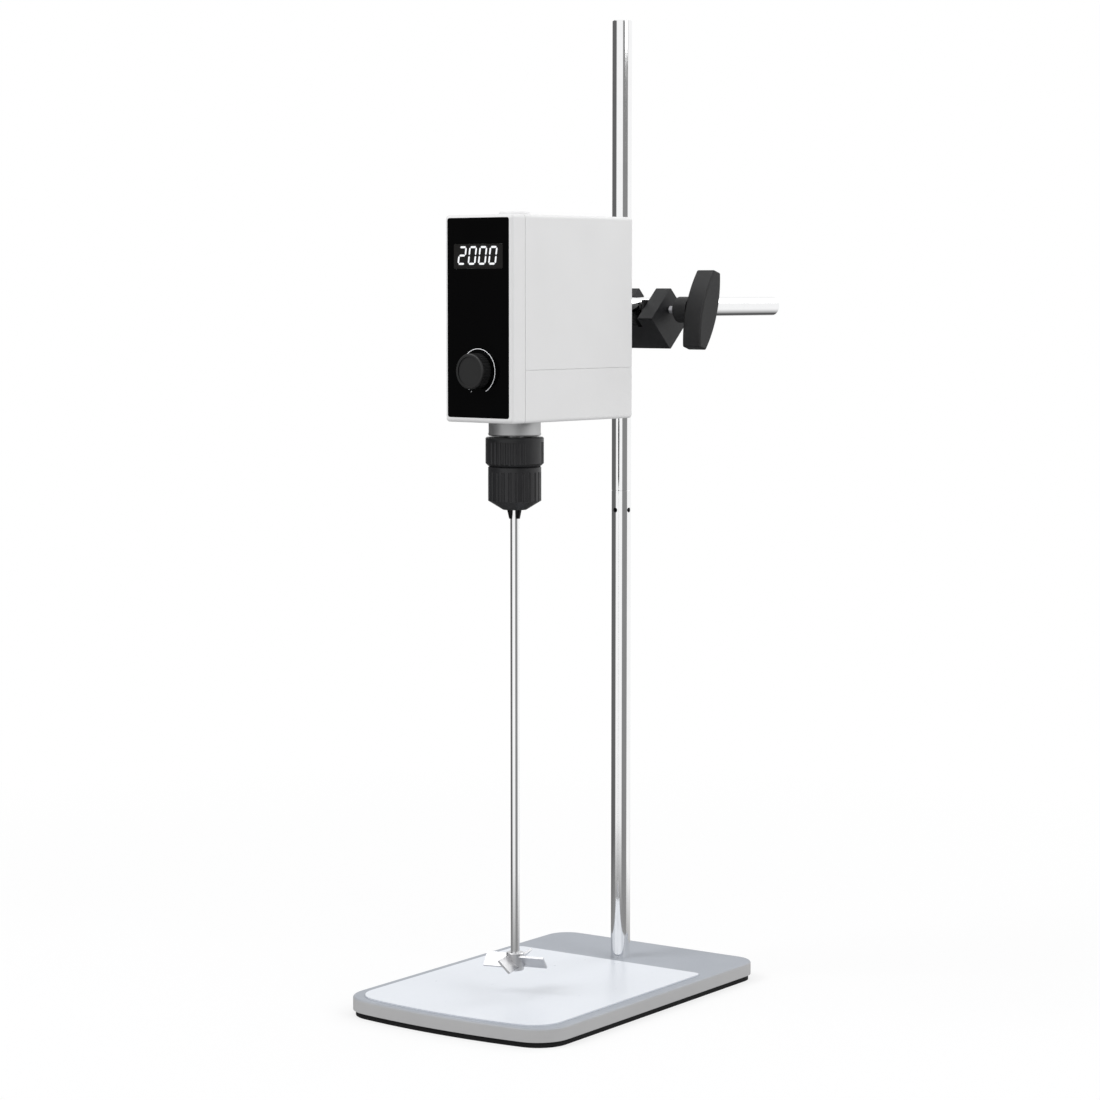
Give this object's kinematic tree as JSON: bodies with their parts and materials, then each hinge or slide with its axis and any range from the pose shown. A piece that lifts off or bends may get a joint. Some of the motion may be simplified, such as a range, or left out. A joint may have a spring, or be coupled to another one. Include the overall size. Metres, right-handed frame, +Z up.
{
  "type": "overhead stirrer",
  "caption": "Overhead laboratory stirrer: boxy drive head with display and knob, keyless chuck and impeller shaft, held by a boss head on a plate stand.",
  "frame": {"origin": "on the stirring shaft's axis, at bench level under the rubber mat", "axes": "+Z up along the shaft; +Y back along the support arm; +X to the right of somebody facing the display"},
  "size_m": [0.2218, 0.4302, 0.784],
  "materials": {
    "mat_rubber": "matt ribbed rubber",
    "plate_paint": "fine-textured grey powder coat on steel",
    "sheet_white": "smooth white",
    "polished_steel": "polished stainless bar",
    "screw_steel": "zinc-plated",
    "boss_paint": "black coated casting",
    "clamp_plastic": "moulded black nylon",
    "housing_white": "fine-textured white ABS",
    "panel_black": "printed black film on a clear sheet",
    "window_smoke": "smoked clear window",
    "knob_black": "matt black with ribbed rim",
    "chuck_black": "satin black glass-filled nylon",
    "jaw_steel": "black-oxide hardened steel",
    "neck_aluminium": "turned and clear anodised",
    "frame_aluminium": "as cast",
    "bearing_steel": "ground",
    "gear_plastic": "natural acetal",
    "pinion_brass": "cut teeth",
    "motor_can": "zinc-plated can",
    "board_green": "solder mask",
    "fitting_black": "moulded black",
    "standoff_brass": "turned",
    "control_metal": "turned"
  },
  "bodies": {
    "stand": {"rubber_mat": "mat_rubber", "base_plate": "plate_paint", "vessel_sheet": "sheet_white", "mast_foot_washer": "screw_steel", "mast_foot_screw": "screw_steel", "lower_mast": "polished_steel", "upper_mast": "polished_steel", "mast_stud": "screw_steel", "mast_set_screws": "screw_steel"},
    "carriage": {"boss_head": "boss_paint", "arm_saddle": "clamp_plastic"},
    "arm_shoe": {"arm_clamp_shoe": "clamp_plastic"},
    "arm_screw": {"arm_clamp_screw": "screw_steel", "arm_clamp_handle": "clamp_plastic"},
    "mast_shoe": {"mast_clamp_shoe": "clamp_plastic"},
    "mast_screw": {"mast_clamp_screw": "screw_steel", "mast_clamp_handle": "clamp_plastic"},
    "head": {"arm_rod": "polished_steel", "frame_casting": "frame_aluminium", "arm_grub_screw": "screw_steel", "neck_collar": "neck_aluminium", "seal_ring": "neck_aluminium", "bearing_outer_rings": "bearing_steel", "front_bezel": "housing_white", "front_panel": "panel_black", "display_window": "window_smoke", "display_module": "fitting_black", "control_board": "board_green", "board_standoffs": "standoff_brass", "speed_control": "fitting_black", "upper_shell": "housing_white", "lower_shell": "housing_white", "bottom_screws": "screw_steel", "rear_screws": "screw_steel", "power_jack": "fitting_black", "power_switch_frame": "fitting_black", "driver_board": "board_green", "driver_standoffs": "standoff_brass", "motor_case": "motor_can", "motor_screws": "screw_steel"},
    "knob": {"speed_knob": "knob_black", "speed_control_shaft": "control_metal"},
    "rocker": {"power_switch_rocker": "fitting_black"},
    "cap": {"shaft_cap": "housing_white"},
    "motor_rotor": {"motor_shaft": "bearing_steel", "motor_pinion": "pinion_brass"},
    "spindle": {"hollow_spindle": "bearing_steel", "bearing_inner_rings": "bearing_steel", "bearing_balls": "bearing_steel", "spindle_gear": "gear_plastic", "chuck_core": "jaw_steel", "chuck_ring": "chuck_black"},
    "sleeve": {"chuck_sleeve": "chuck_black", "jaw_nut": "jaw_steel"},
    "jaw_a": {"jaw_1": "jaw_steel"},
    "jaw_b": {"jaw_2": "jaw_steel"},
    "jaw_c": {"jaw_3": "jaw_steel"},
    "stirrer": {"stirring_shaft": "polished_steel", "impeller": "polished_steel", "impeller_screw": "screw_steel"}
  },
  "joints": [
    {"name": "carriage_lift", "type": "slide", "parent": "stand", "child": "carriage", "axis": [0, 0, 1], "range_m": [-0.012, 0.2]},
    {"name": "arm_slide", "type": "slide", "parent": "carriage", "child": "head", "axis": [0, 1, 0], "range_m": [-0.14, 0.03]},
    {"name": "arm_shoe_slide", "type": "slide", "parent": "carriage", "child": "arm_shoe", "axis": [1, 0, 0], "range_m": [0, 0.0015]},
    {"name": "arm_screw_turn", "type": "hinge", "parent": "arm_shoe", "child": "arm_screw", "pos_m": [0.03, 0.1612, 0.551], "axis": [1, 0, 0], "range_deg": [0, 540]},
    {"name": "mast_shoe_slide", "type": "slide", "parent": "carriage", "child": "mast_shoe", "axis": [-1, 0, 0], "range_m": [0, 0.0015]},
    {"name": "mast_screw_turn", "type": "hinge", "parent": "mast_shoe", "child": "mast_screw", "pos_m": [-0.05, 0.1612, 0.5439], "axis": [-1, 0, 0], "range_deg": [0, 540]},
    {"name": "knob_turn", "type": "hinge", "parent": "head", "child": "knob", "pos_m": [0, -0.0424, 0.5054], "axis": [0, -1, 0], "range_deg": [-150, 150]},
    {"name": "rocker_tip", "type": "hinge", "parent": "head", "child": "rocker", "pos_m": [0.012, 0.1009, 0.4885], "axis": [1, 0, 0], "range_deg": [-16, 0]},
    {"name": "cap_lift", "type": "slide", "parent": "head", "child": "cap", "axis": [0, 0, 1], "range_m": [0, 0.014]},
    {"name": "spindle_spin", "type": "hinge", "parent": "head", "child": "spindle", "pos_m": [0, 0, 0.5], "axis": [0, 0, 1], "continuous": true},
    {"name": "motor_spin", "type": "hinge", "parent": "head", "child": "motor_rotor", "pos_m": [0, 0.039, 0.49], "axis": [0, 0, 1], "continuous": true},
    {"name": "sleeve_turn", "type": "hinge", "parent": "spindle", "child": "sleeve", "pos_m": [0, 0, 0.415], "axis": [0, 0, 1], "range_deg": [0, 1080]},
    {"name": "jaw_a_slide", "type": "slide", "parent": "spindle", "child": "jaw_a", "axis": [0.2419, 0, 0.9703], "range_m": [0, 0.006]},
    {"name": "jaw_b_slide", "type": "slide", "parent": "spindle", "child": "jaw_b", "axis": [-0.121, 0.2095, 0.9703], "range_m": [0, 0.006]},
    {"name": "jaw_c_slide", "type": "slide", "parent": "spindle", "child": "jaw_c", "axis": [-0.121, -0.2095, 0.9703], "range_m": [0, 0.006]},
    {"name": "shaft_slide", "type": "slide", "parent": "spindle", "child": "stirrer", "axis": [0, 0, 1], "range_m": [0, 0.15]}
  ],
  "couplings": [
    {"joint": "arm_shoe_slide", "follows": "arm_screw_turn", "m_per_rad": 0.00015915},
    {"joint": "mast_shoe_slide", "follows": "mast_screw_turn", "m_per_rad": 0.00015915},
    {"joint": "motor_spin", "follows": "spindle_spin", "ratio": -2.4667},
    {"joint": "jaw_a_slide", "follows": "sleeve_turn", "m_per_rad": 0.0003183},
    {"joint": "jaw_b_slide", "follows": "sleeve_turn", "m_per_rad": 0.0003183},
    {"joint": "jaw_c_slide", "follows": "sleeve_turn", "m_per_rad": 0.0003183}
  ]
}
